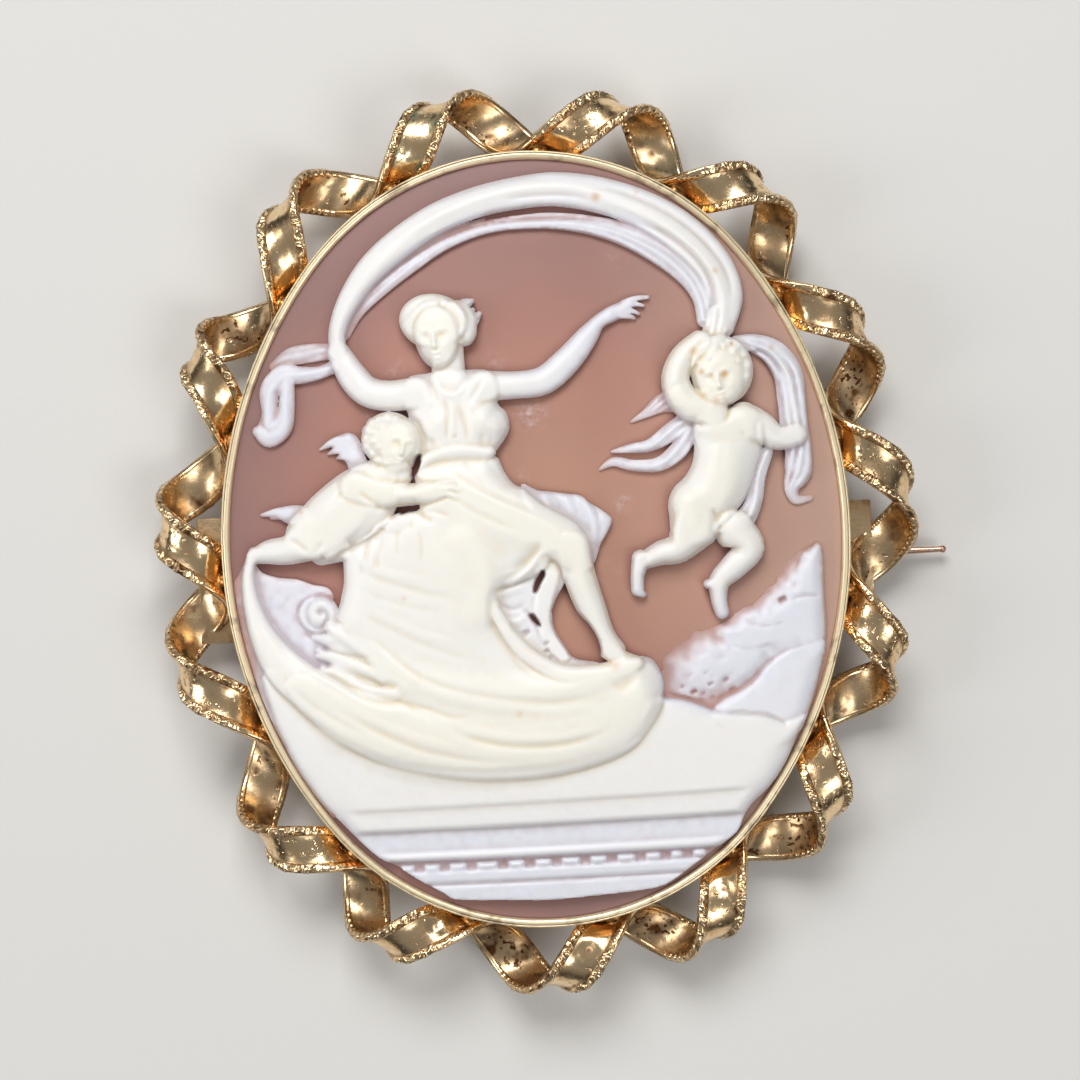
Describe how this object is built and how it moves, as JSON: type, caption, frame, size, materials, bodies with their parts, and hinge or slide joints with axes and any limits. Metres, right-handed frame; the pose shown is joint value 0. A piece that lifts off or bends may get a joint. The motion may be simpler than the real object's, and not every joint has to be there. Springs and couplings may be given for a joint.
{
  "type": "cameo brooch",
  "caption": "Oval shell cameo with a raised classical scene in a plain gold bezel, framed by an open spiral of gold ribbon, with a pin, hinge and hook behind.",
  "frame": {"origin": "middle of the box round the whole brooch, at the height of what it rests on", "axes": "+Z out of the carved face, +Y to the top of the scene, +X to the right of the scene, towards the pin's tip"},
  "size_m": [0.0568, 0.0648, 0.0109],
  "materials": {
    "gold": "worn polish with tarnish in the hollows",
    "brown_shell": "satin polished shell",
    "white_shell": "softly polished shell",
    "rose_gold": "smooth polish"
  },
  "bodies": {
    "root": {"gold_setting": "gold", "cameo_ground": "brown_shell", "cameo_relief": "white_shell", "pin_stem": "rose_gold"}
  },
  "joints": []
}
